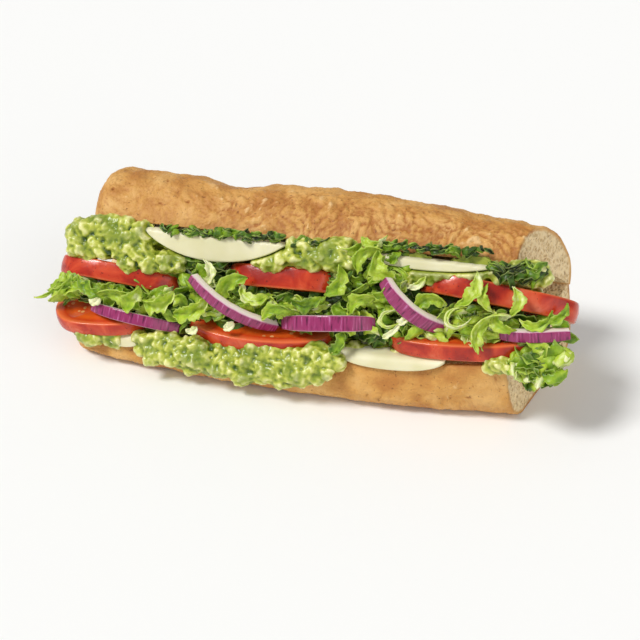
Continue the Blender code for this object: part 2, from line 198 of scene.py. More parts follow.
def finished(name, bm, look, node):
    """The piece that holds a bmesh, in place of a node's plain solid."""
    mesh = bpy.data.meshes.new(name)
    bm.to_mesh(mesh)
    bm.free()
    mesh.transform(TO_FRAME)
    mesh.materials.append(look)
    mesh.shade_smooth()
    piece = bpy.data.objects.new(name, mesh)
    bpy.context.scene.collection.objects.link(piece)
    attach(piece, "root")
    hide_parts(node)
    return piece


def applied(piece):
    """Replaces a piece's mesh by what its modifiers make of it."""
    bpy.context.view_layer.update()
    graph = bpy.context.evaluated_depsgraph_get()
    made = bpy.data.meshes.new_from_object(piece.evaluated_get(graph), depsgraph=graph)
    piece.modifiers.clear()
    piece.data = made


def thickened(piece, thickness, smoothing=0):
    solidify = piece.modifiers.new("thickness", "SOLIDIFY")
    solidify.thickness = thickness * MM
    solidify.offset = 0.0
    if smoothing:
        rounding = piece.modifiers.new("rounding", "SUBSURF")
        rounding.levels = rounding.render_levels = smoothing


def mark_hollows(mesh, rounds):
    """Keeps how far each point stands over its softened surroundings, in mm, for the colours'
    painted shade in hollows and painted highlights on tops.
    """
    count = len(mesh.vertices)
    points = np.empty(count * 3)
    mesh.vertices.foreach_get("co", points)
    points = points.reshape(-1, 3)
    edges = np.empty(len(mesh.edges) * 2, np.int64)
    mesh.edges.foreach_get("vertices", edges)
    first, second = edges.reshape(-1, 2).T
    degree = np.bincount(edges, minlength=count)[:, None]
    soft = points.copy()
    for _ in range(rounds):
        total = np.zeros_like(soft)
        np.add.at(total, first, soft[second])
        np.add.at(total, second, soft[first])
        soft = 0.3 * soft + 0.7 * total / degree
    normals = np.empty(count * 3)
    mesh.vertex_normals.foreach_get("vector", normals)
    height = ((points - soft) * normals.reshape(-1, 3)).sum(axis=1) / MM
    relief = mesh.attributes.new("relief", "FLOAT", "POINT")
    relief.data.foreach_set("value", height.astype(np.float32))


# Materials
def set_inputs(tree, node, inputs):
    """Links or sets a node's inputs, by name or number in a dictionary, or in order in a list."""
    for key, value in inputs.items() if isinstance(inputs, dict) else enumerate(inputs):
        if isinstance(value, bpy.types.NodeSocket):
            tree.links.new(value, node.inputs[key])
        else:
            node.inputs[key].default_value = value


def add_node(tree, kind, inputs=(), stops=(), output=0, **settings):
    """Adds a node, sets its properties, inputs and colour stops, and gives one of its outputs."""
    node = tree.nodes.new("ShaderNode" + kind)
    for name, value in settings.items():
        setattr(node, name, value)
    set_inputs(tree, node, inputs)
    if stops:
        elements = node.color_ramp.elements
        while len(elements) < len(stops):
            elements.new(0.5)
        for element, (place, colour) in zip(elements, stops):
            element.position = place
            element.color = (*colour, 1)
    return node.outputs[output]


def new_look(name, **constants):
    """A material, its node tree and its shader, with the shader's constant values set."""
    look = bpy.data.materials.new(name)
    look.use_nodes = True
    shader = look.node_tree.nodes["Principled BSDF"]
    for socket, value in constants.items():
        shader.inputs[socket.replace("_", " ")].default_value = value
    return look, look.node_tree, shader


def per(size):
    """The texture scale whose pattern repeats about every so many millimetres."""
    return 1 / (size * MM)


def baked_crust(settings):
    """Baked wheat crust over an open crumb: matt, mottled tan, with painted shade in its creases
    and painted highlights on its raised flakes.
    """
    look, tree, shader = new_look(
        "baked_wheat_crust", Roughness=0.52, IOR=1.45, Specular_IOR_Level=0.45)
    place = add_node(tree, "TexCoord", output="Object")
    relief, crumb = [
        add_node(tree, "Attribute", output="Fac", attribute_name=name)
        for name in ("relief", "crumb")]
    patches = add_node(tree, "TexNoise", {"Vector": place, "Scale": per(13), "Detail": 5})
    colour = add_node(tree, "ValToRGB", [patches], [
        (0.34, settings.crust_dark), (0.5, settings.crust_middle), (0.68, settings.crust_light)])
    # Painted shade: the creases are coloured darker. Painted highlight: the raised flakes are
    # coloured paler
    creases = add_node(tree, "MapRange", [relief, -1.0, -0.3])
    colour = add_node(
        tree, "Mix", {0: creases, 6: (*linear("AE7033"), 1), 7: colour}, output=2,
        data_type="RGBA")
    flakes = add_node(tree, "MapRange", [relief, 0.15, 0.6, 0, 0.7])
    colour = add_node(
        tree, "Mix", {0: flakes, 6: colour, 7: (*linear("EFC78C"), 1)}, output=2,
        data_type="RGBA")
    # Bran shows as thin brown flecks of about a millimetre
    flecks = add_node(tree, "TexNoise", {"Vector": place, "Scale": per(1.7), "Detail": 2})
    flecks = add_node(tree, "MapRange", [flecks, 0.66, 0.72, 0, 0.65])
    colour = add_node(
        tree, "Mix", {0: flecks, 6: colour, 7: (*linear("7A451C"), 1)}, output=2,
        data_type="RGBA")
    # The crumb's pores are about as wide, and are painted darker in their middles, as shade in the
    # holes
    pores = add_node(tree, "TexVoronoi", {"Vector": place, "Scale": per(1.7)})
    inside = add_node(tree, "ValToRGB", [pores], [
        (0.0, linear("B38F5C")), (0.22, linear("DFC08A")), (0.7, settings.crumb_colour)])
    bran = add_node(tree, "TexNoise", {"Vector": place, "Scale": per(1.3), "Detail": 3})
    bran = add_node(tree, "MapRange", [bran, 0.6, 0.66, 0, 0.55])
    inside = add_node(
        tree, "Mix", {0: bran, 6: inside, 7: (*linear("8B6238"), 1)}, output=2,
        data_type="RGBA")
    colour = add_node(tree, "Mix", {0: crumb, 6: colour, 7: inside}, output=2, data_type="RGBA")
    fine = add_node(tree, "TexNoise", {"Vector": place, "Scale": per(1.1), "Detail": 4})
    sunk = add_node(tree, "MapRange", [pores, 0.1, 0.5])
    height = add_node(tree, "Mix", {0: crumb, 2: fine, 3: sunk})
    bump = add_node(tree, "Bump", {"Height": height, "Distance": 0.6 * MM, "Strength": 0.9})
    set_inputs(tree, shader, {"Base Color": colour, "Normal": bump})
    return look


def mashed_avocado(settings):
    """Fork-mashed ripe avocado: moist and waxy, painted pale as highlight on its lumps and deep
    green as shade in its hollows.
    """
    look, tree, shader = new_look(
        "mashed_avocado_flesh", Roughness=0.33, IOR=1.42, Subsurface_Weight=0.12,
        Subsurface_Radius=(0.6, 0.7, 0.2), Subsurface_Scale=2 * MM, Coat_Weight=0.3,
        Coat_Roughness=0.2)
    place = add_node(tree, "TexCoord", output="Object")
    relief = add_node(tree, "Attribute", output="Fac", attribute_name="relief")
    # The relief picks the colour: painted shade, deep green, in the hollows; painted highlight,
    # pale, on the lumps, palest (E8E59C) on their tops
    lumps = add_node(tree, "MapRange", [relief, -0.8, 0.75])
    colour = add_node(tree, "ValToRGB", [lumps], [
        (0.16, settings.mash_hollow_shade), (0.44, settings.mash_middle), (0.64, settings.mash_lump_highlight),
        (0.9, linear("E8E59C"))])
    green = add_node(tree, "TexNoise", {"Vector": place, "Scale": per(9), "Detail": 3})
    green = add_node(tree, "MapRange", [green, 0.48, 0.62, 0, 0.6])
    colour = add_node(
        tree, "Mix", {0: green, 6: colour, 7: (*linear("66801C"), 1)}, output=2,
        data_type="RGBA")
    fibres = add_node(tree, "TexNoise", {"Vector": place, "Scale": per(1.6), "Detail": 3})
    bump = add_node(tree, "Bump", {"Height": fibres, "Distance": 0.5 * MM, "Strength": 0.6})
    set_inputs(tree, shader, {"Base Color": colour, "Normal": bump})
    return look


def lettuce_leaf(settings):
    """Crisp lettuce leaf: thin and a little see-through, satin, paler at cut edges and ribs."""
    look, tree, shader = new_look(
        "crisp_lettuce_leaf", Roughness=0.38, IOR=1.4, Subsurface_Weight=0.15,
        Subsurface_Radius=(0.5, 0.9, 0.15), Subsurface_Scale=1.5 * MM)
    place = add_node(tree, "TexCoord", output="Object")
    tone, edge = [
        add_node(tree, "Attribute", output="Fac", attribute_name=name)
        for name in ("tone", "edge")]
    mottle = add_node(tree, "TexNoise", {"Vector": place, "Scale": per(4), "Detail": 3})
    mottle = add_node(tree, "MapRange", [mottle, 0.3, 0.7, -0.14, 0.14])
    mottled = add_node(tree, "Math", [tone, mottle], operation="ADD")
    # The darkest stop, 1C2B08, and the low tones near it are painted shade for the heap's middle
    # and its deep shreds
    colour = add_node(tree, "ValToRGB", [mottled], [
        (0.0, linear("1C2B08")), (0.25, settings.leaf_dark), (0.5, settings.leaf_middle),
        (0.74, settings.leaf_light), (1.0, linear("EDF0BE"))])
    rim = add_node(tree, "MapRange", [edge, 0.85, 1.0, 0, 0.22])
    colour = add_node(
        tree, "Mix", {0: rim, 6: colour, 7: (*linear("DDE58A"), 1)}, output=2, data_type="RGBA")
    veins = add_node(tree, "TexNoise", {"Vector": place, "Scale": per(1.8), "Detail": 3})
    bump = add_node(tree, "Bump", {"Height": veins, "Distance": 0.5 * MM, "Strength": 0.7})
    set_inputs(tree, shader, {"Base Color": colour, "Normal": bump})
    return look


def ripe_tomato(settings):
    """Ripe tomato: a tight glossy skin round wet flesh that is paler at the wall."""
    look, tree, shader = new_look(
        "ripe_tomato_slice", Roughness=0.22, IOR=1.4, Subsurface_Weight=0.2,
        Subsurface_Radius=(1.0, 0.25, 0.1), Subsurface_Scale=2 * MM, Coat_Weight=0.25,
        Coat_Roughness=0.1)
    place = add_node(tree, "TexCoord", output="Object")
    radius, gel, outside = [
        add_node(tree, "Attribute", output="Fac", attribute_name=name)
        for name in ("radius", "gel", "skin")]
    patches = add_node(
        tree, "TexNoise", {"Vector": place, "Scale": per(11), "Detail": 5, "Distortion": 0.6})
    skin = add_node(tree, "ValToRGB", [patches], [
        (0.36, settings.skin_dark), (0.48, settings.skin_middle), (0.6, linear("CF4A26")),
        (0.74, linear("DE7350"))])
    specks = add_node(tree, "TexNoise", {"Vector": place, "Scale": per(1.1), "Detail": 1})
    specks = add_node(tree, "MapRange", [specks, 0.7, 0.73, 0, 0.8])
    skin = add_node(
        tree, "Mix", {0: specks, 6: skin, 7: (*linear("6E1408"), 1)}, output=2,
        data_type="RGBA")
    flesh = add_node(tree, "ValToRGB", [radius], [
        (0.1, linear("E58A58")), (0.35, linear("CB4A1E")), (0.62, linear("DB5E1C")),
        (0.8, linear("C84018")), (0.95, linear("E0703F"))])
    # Seeds about 3 mm apart lie in the wet hollows
    seeds = add_node(tree, "TexVoronoi", {"Vector": place, "Scale": per(3.2)})
    seeds = add_node(tree, "MapRange", [seeds, 0.22, 0.3, 0.75, 0])
    wet = add_node(tree, "MapRange", [gel, 0.2, 0.8])
    seeded = add_node(tree, "Math", [seeds, wet], operation="MULTIPLY")
    flesh = add_node(
        tree, "Mix", {0: seeded, 6: flesh, 7: (*linear("EFC07A"), 1)}, output=2,
        data_type="RGBA")
    colour = add_node(tree, "Mix", {0: outside, 6: flesh, 7: skin}, output=2, data_type="RGBA")
    dents = add_node(tree, "TexNoise", {"Vector": place, "Scale": per(2.2), "Detail": 3})
    bump = add_node(tree, "Bump", {"Height": dents, "Distance": 0.25 * MM, "Strength": 0.4})
    set_inputs(tree, shader, {"Base Color": colour, "Normal": bump})
    return look


def red_onion(settings):
    """Red onion ring: streaked purple skin outside, cream where the knife went through."""
    look, tree, shader = new_look(
        "red_onion_ring", Roughness=0.25, IOR=1.4, Subsurface_Weight=0.15,
        Subsurface_Radius=(0.8, 0.4, 0.6), Subsurface_Scale=1.5 * MM, Coat_Weight=0.3,
        Coat_Roughness=0.15)
    arc, rise, depth, outside = [
        add_node(tree, "Attribute", output="Fac", attribute_name=name)
        for name in ("arc", "rise", "depth", "skin")]
    rise = add_node(tree, "Math", [rise, 0.12], operation="MULTIPLY")
    place = add_node(tree, "CombineXYZ", [arc, rise])
    # Veins run across the band, from 1 to 3 mm apart
    veins = add_node(tree, "TexNoise", {"Vector": place, "Scale": 0.8, "Detail": 5})
    skin = add_node(tree, "ValToRGB", [veins], [
        (0.34, settings.onion_dark), (0.47, settings.onion_middle), (0.56, settings.onion_middle),
        (0.7, settings.onion_light)])
    flesh = add_node(tree, "ValToRGB", [depth], [
        (0.0, linear("D9C9B4")), (0.6, linear("EFE4D6")), (0.86, linear("E7C9D2")),
        (0.97, settings.onion_middle)])
    colour = add_node(tree, "Mix", {0: outside, 6: flesh, 7: skin}, output=2, data_type="RGBA")
    bump = add_node(tree, "Bump", {"Height": veins, "Distance": 0.25 * MM, "Strength": 0.4})
    set_inputs(tree, shader, {"Base Color": colour, "Normal": bump})
    return look


def white_cheese(settings):
    """Mild white cheese: smooth, soft-edged and a little translucent."""
    look, tree, shader = new_look(
        "mild_white_cheese", Roughness=0.4, IOR=1.45, Subsurface_Weight=0.25,
        Subsurface_Radius=(1.0, 0.9, 0.6), Subsurface_Scale=2 * MM)
    place = add_node(tree, "TexCoord", output="Object")
    patches = add_node(tree, "TexNoise", {"Vector": place, "Scale": per(16), "Detail": 2})
    colour = add_node(
        tree, "ValToRGB", [patches], [(0.3, linear("D3CD9E")), (0.65, settings.cheese_colour)])
    dents = add_node(tree, "TexNoise", {"Vector": place, "Scale": per(5), "Detail": 2})
    bump = add_node(tree, "Bump", {"Height": dents, "Distance": 0.2 * MM, "Strength": 0.3})
    set_inputs(tree, shader, {"Base Color": colour, "Normal": bump})
    return look


def matt_floor(settings):
    """Plain pale studio floor, fully matt."""
    look, _, _ = new_look(
        "matt_pale_floor", Roughness=0.9, Base_Color=(*settings.floor_colour, 1))
    return look


# The roll
NOSE_SHARE, FACE_SHARE = 0.14, 0.08  # grid shares of the round left end and the cut right end
BOTTOM_CRUST_SHARE, TOP_CRUST_SHARE = 0.68, 0.7  # grid shares of the crust round each half
NOSE_BLUNTNESS = 0.45
BREAD_GRID = (440, 200)  # lines along and around, fine enough for flakes of a millimetre
CRUST_AROUND = 130  # how far it is round a half's section, in mm
CRUST_EDGE = 2.4  # how thick the browned crust shows round a cut face, in mm
CRUST_FADE = 1.6  # over how much of that it turns to crumb, in mm
HEART_SHARE = 0.42  # how high in its section the point lies that the ends close on


def roll_station(u):
    """How far along grid line u lies, and how full its section is there."""
    if u < NOSE_SHARE:
        angle = math.pi / 2 * u / NOSE_SHARE
        return LEFT_ROUNDING * (1 - math.cos(angle)), math.sin(angle) ** NOSE_BLUNTNESS
    if u > 1 - FACE_SHARE:
        return 1.0, (1 - u) / FACE_SHARE
    along = (u - NOSE_SHARE) / (1 - NOSE_SHARE - FACE_SHARE)
    return LEFT_ROUNDING + along * (1 - LEFT_ROUNDING), 1.0


def even_angles(squareness, count=400):
    """Angles round the outer side of a blunt oval, evenly spaced along it."""
    angles = np.linspace(0, math.pi, 20001)
    c, s = np.cos(angles), np.sin(angles)
    across = -np.sign(c) * np.abs(c) ** (2 / squareness)
    bulge = np.abs(s) ** (2 / squareness)
    length = np.concatenate([[0], np.cumsum(np.hypot(np.diff(across), np.diff(bulge)))])
    return np.interp(np.linspace(0, length[-1], count + 1), length, angles)


EVEN_ANGLES = {number: even_angles(number) for number in (BASE_SQUARENESS, DOME_SQUARENESS)}


def side_curve(v, outer_share, squareness):
    """Where grid line v lies round a half of the roll: across is -1 at the front and 1 at the
    back, bulge is 0 on the cut face and 1 where the crust is furthest from it, and angle is 0 on
    the cut face."""
    if v > outer_share:
        return 1 - 2 * (v - outer_share) / (1 - outer_share), 0.0, 0.0
    table = EVEN_ANGLES[squareness]
    angle = float(np.interp(v / outer_share * (len(table) - 1), range(len(table)), table))
    across = -math.copysign(abs(math.cos(angle)) ** (2 / squareness), math.cos(angle))
    return across, abs(math.sin(angle)) ** (2 / squareness), angle


def swell(point):
    """The low unevenness of the baked form."""
    low = noise.noise(Vector((point.x * 0.05, point.y * 0.09, point.z * 0.09)))
    return 1.1 * low + 0.8 * noise.noise(point * 0.16 + Vector((7, 3, 5)))


def crust_detail(point, around, flaky):
    """Puffed flakes with creases between them, and a few pits, in mm. around is how far round the
    section, and flaky is 1 where the crust is most wrinkled."""
    bend = noise.noise_vector(point * 0.07) * 5.0
    x, w = point.x + bend.x, around + bend.y
    flakes = noise.turbulence(Vector((x * 0.21, w * 0.17, 3.0)), 3, True)
    small = noise.turbulence(Vector((x * 0.55, w * 0.45, 9.0)), 2, True)
    soft = noise.noise(Vector((x * 0.09, w * 0.13, 5.0)))
    pit = max(noise.noise(Vector((x * 0.42, w * 0.42, 1.0))) - 0.5, 0.0)
    crack = 1 - smooth_step(abs(noise.noise(Vector((x * 0.2, w * 0.03, 20.0)))), 0.0, 0.05)
    crack *= smooth_step(noise.noise(Vector((x * 0.05, w * 0.09, 30.0))), 0.05, 0.2)
    return (
        -0.5 * crack * (1 - flaky) + (1.8 * flaky + 0.25) * (flakes - 0.55)
        + (0.8 * flaky + 0.25) * (small - 0.45) + 0.25 * soft - 4.0 * pit
    )


def flaky_at(angle, x):
    """The top half is most wrinkled along its lower front, and more so right of its middle."""
    return (1 - smooth_step(angle, 0.3, 1.5)) * (0.45 + 0.55 * smooth_step(x, -70, 10))


def bread_piece(name, section, wrinkled, detail, look, node):
    """A half of the roll. section(along, v) gives a point, its outward direction, the angle round
    the crust, the heart of the section there, and how far the point lies in from the crust.
    wrinkled(angle, x) says how flaky the crust is."""

    def place(u, v):
        along, fullness = roll_station(u)
        point, outward, angle, heart, inward = section(along, v)
        radius = (point - heart).length
        relief, crumb = 0.0, smooth_step(inward, CRUST_EDGE - CRUST_FADE, CRUST_EDGE)
        if angle > 0:
            fade = min(1.0, 2.5 * math.sin(angle))
            relief = detail * crust_detail(point, CRUST_AROUND * v, wrinkled(angle, point.x))
            point = point + outward * (fade * 0.9 * swell(point) + (0.35 + 0.65 * fade) * relief)
        if u > 1 - FACE_SHARE:
            depth = radius * (1 - fullness)
            crumb = max(crumb, smooth_step(depth, CRUST_EDGE - CRUST_FADE, CRUST_EDGE))
            point = heart + (point - heart) * fullness
            point.x += (0.7 * noise.noise(point * 0.4) - 0.4) * smooth_step(depth, 0.0, 3.0)
            return point, relief * fullness, crumb
        return heart + (point - heart) * fullness, relief, crumb

    finished(name, rolled(*BREAD_GRID, place, "relief", "crumb"), look, node)


def bottom_section(along, v):
    """The bottom half: a flat base, a bowed front wall and a cut face that sags."""
    centre_y = ROLL_FRONT_Y + ROLL_DEPTH / 2
    across, below, angle = side_curve(v, BOTTOM_CRUST_SHARE, BASE_SQUARENESS)
    drop = min(1.03 * below, 1.0)
    y = centre_y + across * ROLL_DEPTH / 2
    cut = BOTTOM_CUT_X + BOTTOM_CUT_SLANT * (y - ROLL_FRONT_Y) + CUT_LEAN * drop
    x = BOTTOM_LEFT_X + (cut - BOTTOM_LEFT_X) * along
    point = Vector((x, y, cut_face(x, y)))
    if angle > 0:
        point.z = cut_face(x, y, sag=0) * (1 - drop)
        point.y -= belly(x) * math.sqrt(drop) * (1 - across) / 2
    outward = Vector((0, across, -0.2 * below)) if point.z > 0 else Vector()
    heart = Vector((x, centre_y, HEART_SHARE * rim_height(x)))
    if along == 1.0:
        heart.x = BOTTOM_CUT_X + BOTTOM_CUT_SLANT * ROLL_DEPTH / 2 + 0.6 * CUT_LEAN
    return point, outward, angle, heart, 0.0 if angle > 0 else (1 - abs(across)) * ROLL_DEPTH / 2


def top_section(along, v):
    """The top half: a dome on a cut face that leans back from its front edge to the hinge side."""
    across, above, angle = side_curve(v, TOP_CRUST_SHARE, DOME_SQUARENESS)
    cut = TOP_CUT_X + TOP_CUT_SLANT * (across + 1) / 2 * TOP_WIDTH
    x = TOP_LEFT_X + (cut - TOP_LEFT_X) * along
    width, thickness = top_width(x), top_thickness(x)
    middle = top_edge(x) + BACKWARD * width / 2
    point = middle + BACKWARD * (across * width / 2) + OUTWARD * above * thickness
    if angle == 0:
        point += OUTWARD * 1.5 * (1 - across * across)
    outward = BACKWARD * across + OUTWARD * above
    heart = middle + OUTWARD * HEART_SHARE * thickness
    if along == 1.0:
        heart.x = TOP_CUT_X + TOP_CUT_SLANT * TOP_WIDTH / 2
    return point, outward, angle, heart, 0.0 if angle > 0 else (1 - abs(across)) * width / 2


# Slices, rings and cheese
# Tomato slices, the upper row first: x, height up the front and how far out of it for the middle of
# the front edge, half the length and depth, the thickness, and how far the back and the right-hand
# end are lowered, in degrees
TOMATOES = [
    (-83.0, 28.8, 5.0, 28.5, 11.0, 8.5, 40, 3),
    (-10.0, 32.0, 4.0, 24.5, 10.0, 9.5, 40, -4),
    (80.5, 31.5, 5.0, 32.7, 11.0, 9.0, 40, 4),
    (-89.0, 3.2, 7.0, 23.0, 13.0, 6.5, -5, -6),
    (-18.0, 1.4, 6.0, 31.4, 15.0, 7.5, -4, -2),
    (69.0, 6.0, 6.0, 32.0, 13.0, 7.4, 2, -7),
]
# Onion rings from left to right: x, height up the front and how far out of it for the middle of the
# skin, the radius, half the angle that the piece spans, its height, and how it is lowered
ONIONS = [
    (-72.2, 10.4, 10.8, 31.0, 41, 5.0, 33, 6),
    (-27.8, 16.2, 13.2, 38.0, 34, 5.2, -2, 27),
    (13.0, 14.5, 10.8, 34.0, 37, 6.8, 33, -10),
    (49.3, 20.0, 12.9, 23.0, 50, 6.6, -1, 33),
    (98.2, 15.1, 9.1, 50.0, 16.5, 4.9, 8, -11),
]
# Slices of cheese: the middle, half the length, and how far the free edge hangs
UPPER_CHEESE = [(-41.0, 32.0, 11.0), (48.0, 31.0, 4.6)]
LOWER_CHEESE = [(-76.0, 9.0, 5.0), (41.5, 22.0, 4.4)]
UPPER_TUCK, LOWER_TUCK = 14.0, 8.0  # how far they reach into the roll, in mm


def tilted_axes(tilt, turn):
    """The side, back and upward directions of a piece whose back is lowered by tilt and whose
    right-hand end is lowered by turn."""
    back = Vector((0, math.cos(math.radians(tilt)), -math.sin(math.radians(tilt))))
    side = Vector((math.cos(math.radians(turn)), 0, -math.sin(math.radians(turn))))
    return side, back, side.cross(back).normalized()


def blunt(angle, squareness=2.5):
    """A point on a slightly squared unit oval."""
    c, s = math.cos(angle), math.sin(angle)
    return (
        math.copysign(abs(c) ** (2 / squareness), c),
        math.copysign(abs(s) ** (2 / squareness), s),
    )


def tomato_slice(number, look, x, up, out, half_length, half_depth, thickness, tilt, turn):
    """An oval slice with a skin edge. The wet hollows round its seeds sink into both faces."""
    side, back, normal = tilted_axes(tilt, turn)
    heart = front(x, up, out) + back * half_depth
    rim = [(0.955, 0.49), (0.975, 0.46), (0.987, 0.38), (0.995, 0.2)]
    face = [(0.03 + 0.925 * k / 14, 0.5) for k in range(14)]
    half = face + rim
    profile = half + [(1.0, 0.0)] + [(size, -rise) for size, rise in reversed(half)]

    def place(u, v):
        size, rise = profile[round(u * (len(profile) - 1))]
        angle = 2 * math.pi * v
        lobes = 1 + 0.02 * math.cos(3 * angle + x) + 0.012 * math.cos(5 * angle + 2 * x)
        across, deep = blunt(angle)
        around = side * half_length * across + back * half_depth * deep
        chamber = max(math.sin(2.5 * angle + x), 0.0) ** 0.4
        gel = chamber * smooth_step(size, 0.3, 0.42) * (1 - smooth_step(size, 0.68, 0.8))
        wave = 0.25 * noise.noise(Vector((size * 5, angle * 2, x)))
        sunk = math.copysign(0.9 * gel + wave, rise) if size < 0.95 else 0.0
        skin = smooth_step(size, 0.966, 0.985)
        point = heart + around * size * lobes + normal * (rise * thickness - sunk)
        return point, skin, size, gel

    bm = rolled(len(profile) - 1, 120, place, "skin", "radius", "gel")
    name = f"tomato_{number}"
    finished(f"{name}_slice", bm, look, name)


def onion_ring(number, look, x, up, out, radius, half_angle, band, tilt, turn):
    """A piece of an onion ring, band mm high, bowed towards the front."""
    side, back, normal = tilted_axes(tilt, turn)
    heart = front(x, up, out) + back * radius

    def place(u, v):
        angle = math.radians(half_angle) * (2 * u - 1)
        c, s = blunt(2 * math.pi * v, 7)
        depth, rise = (c + 1) / 2, s / 2
        taper = 1 - 0.25 * abs(2 * u - 1) ** 4
        wave = 0.2 * noise.noise(Vector((angle * radius * 0.3, 0, x)))
        out_from_middle = side * math.sin(angle) - back * math.cos(angle)
        reach = radius - ONION_WALL * (1 - depth) + wave
        point = heart + out_from_middle * reach + normal * rise * band * taper
        skin = smooth_step(depth, 0.955, 0.985) * smooth_step(0.5 - abs(rise), 0.004, 0.03)
        return point, angle * radius + 7 * number, rise * band, depth, skin

    bm = rolled(100, 48, place, "arc", "rise", "depth", "skin")
    name = f"onion_{number}"
    finished(f"{name}_ring", bm, look, name)


def upper_cheese(u, v, x, half_length, droop):
    """A thin slice tucked under the top half's edge, with a bowed free edge hanging in front."""
    along = 2 * u - 1
    here = x + half_length * along
    free = droop * max(1 - along * along, 0.02) ** 0.8
    travel = v * (UPPER_TUCK + free)
    wave = 0.5 * math.sin(5 * along + x)
    if travel < UPPER_TUCK:
        under = OUTWARD * (2.2 + 0.3 * wave)
        return (top_edge(here) + BACKWARD * (UPPER_TUCK - travel) - under,)
    hang = travel - UPPER_TUCK
    return (front(here, front_height(here) - 2.0 - hang, 3.2 + wave),)


def lower_cheese(u, v, x, half_length, droop):
    """A thin slice on the bottom half's cut face, with a bowed free edge hanging over its rim."""
    along = 2 * u - 1
    here = x + half_length * along
    free = droop * math.sqrt(max(1 - along * along, 0.02))
    travel = v * (LOWER_TUCK + free)
    height = rim_height(here) + lip(here) + 2.4
    if travel < LOWER_TUCK:
        return (Vector((here, ROLL_FRONT_Y + LOWER_TUCK - travel, height)),)
    hang = travel - LOWER_TUCK
    ahead = 3.4 * (1 - math.exp(-hang / 2.2)) + 0.1 * hang
    return (Vector((here, ROLL_FRONT_Y - ahead, height - 0.9 * hang)),)


# Mash
MASH_VOXEL = 0.55  # the grain that the lumps are melted together at, in mm
MASH_ROUNDS = 18  # rounds of softening that its hollows and tops are told by
LARGE_LUMPS = (2.6, 5.0), (-1.6, 0.9)  # their size from and to, and how far out from and to
SMALL_LUMPS = (1.0, 2.9), (0.2, 3.0)
BEHIND_CHEESE = 1.4  # how far out of the front the mash may stand behind cheese, in mm


def oval(v):
    return math.cos(2 * math.pi * v), math.sin(2 * math.pi * v)


def end_fullness(u, slope, least):
    """How full a body is at u of its length: it narrows to blunt ends."""
    return min(1.0, slope * u + least, slope * (1 - u) + least)


def upper_bed(u, v):
    """The mash spread under the top half, from its front edge back towards the hinge."""
    x = -99.0 + 196.0 * u
    across, rise = oval(v)
    fullness = end_fullness(u, 6.0, 0.3)
    middle = top_edge(x) + BACKWARD * 19 - OUTWARD * 6.6
    return (middle + BACKWARD * across * 19.5 * fullness + OUTWARD * rise * 4.4 * fullness,)


def lower_bed(u, v):
    """The mash on the bottom half's cut face."""
    x = -97.0 + 186.0 * u
    across, rise = oval(v)
    fullness = end_fullness(u, 6.0, 0.3)
    y = -14.0 + 22.0 * across * fullness
    return (Vector((x, y, cut_face(x, y) + 3.6 + 2.8 * rise * fullness)),)


# Where the mash stands out in lumps: x from and to, height up the front from and to, how far out
# of the front, and how many lumps
LOWER_MOUNDS = [
    (-98, -80, -1, 4, 1.0, 8),
    (-70, 20, -4, 2, 2.5, 56),
    (-64, -34, -8, -3, 3.0, 26),
    (-46, -26, -10, -6, 2.6, 16),
    (-27, 5, -12, -3, 3.0, 32),
    (2, 17, -9, -2, 2.8, 14),
    (83, 91, 2, 4, 2.0, 6),
]
UPPER_MOUNDS = [
    (-104, -72, 36, 48, 2.0, 64),
    (-97, -82, 46, 51, 1.0, 12),
    (-80, -54, 32, 37, 1.5, 24),
    (-22, -8, 37, 41, 1.5, 8),
    (-8, 20, 39, 47, 2.0, 24),
    (40, 56, 35, 42, 1.5, 12),
    (56, 98, 38, 43, 1.5, 32),
]


def add_lumps(bm, draw, mounds, sizes, spread, share=1.0):
    """Small uneven lumps over the mounds."""
    for x0, x1, up0, up1, out, count in mounds:
        for _ in range(round(count * share)):
            x, up = draw.uniform(x0, x1), draw.uniform(up0, up1)
            spot = front(x, up, out + draw.uniform(*spread))
            turn = Matrix.Translation(spot) @ Matrix.Rotation(draw.uniform(0, 3), 4, "X")
            size = draw.uniform(*sizes)
            stretch = Matrix.Diagonal((size * draw.uniform(1, 1.5), size, size, 1))
            bmesh.ops.create_icosphere(bm, subdivisions=2, radius=1, matrix=turn @ stretch)


def pressed_back(spot):
    """Moves a point of the mash back behind the cheese that lies on it."""
    up, out = on_front(spot)
    for x, half_length, droop in UPPER_CHEESE:
        along = (spot.x - x) / half_length
        if abs(along) < 1 and out > BEHIND_CHEESE:
            free_edge = front_height(spot.x) - 2 - droop * (1 - along**2) ** 0.8
            covered = smooth_step(up, free_edge - 1.5, free_edge + 0.5)
            covered *= smooth_step(1 - abs(along), 0, 0.06)
            return front(spot.x, up, out + (BEHIND_CHEESE - out) * covered)
    return spot


def mash_piece(name, bed, mounds, seed, look, node):
    """Mashed avocado: its bed, large lumps and many small ones melted into one uneven body."""
    bm = rolled(60, 16, bed)
    add_lumps(bm, random.Random(seed), mounds, *LARGE_LUMPS)
    add_lumps(bm, random.Random(seed + 1), mounds, *SMALL_LUMPS, 1.9)
    piece = finished(name, bm, look, node)
    melt = piece.modifiers.new("melt", "REMESH")
    melt.mode = "VOXEL"
    melt.voxel_size = MASH_VOXEL * MM
    soften = piece.modifiers.new("soften", "SMOOTH")
    soften.factor, soften.iterations = 0.5, 4
    applied(piece)
    mesh = piece.data
    mesh.shade_smooth()
    to_roll = TO_FRAME.inverted()
    normals = [Vector(item.vector) for item in mesh.vertex_normals]
    for vert, normal in zip(mesh.vertices, normals):
        spot = to_roll @ vert.co
        uneven = 1.3 * noise.noise(spot * 0.22) + 0.7 * noise.noise(spot * 0.55)
        uneven += 0.18 * noise.noise(spot * 1.7)
        vert.co = TO_FRAME @ pressed_back(spot + normal * uneven)
    mark_hollows(mesh, MASH_ROUNDS)


# Lettuce
SHRED_THICKNESS, LEAF_THICKNESS = 0.4, 0.6  # in mm


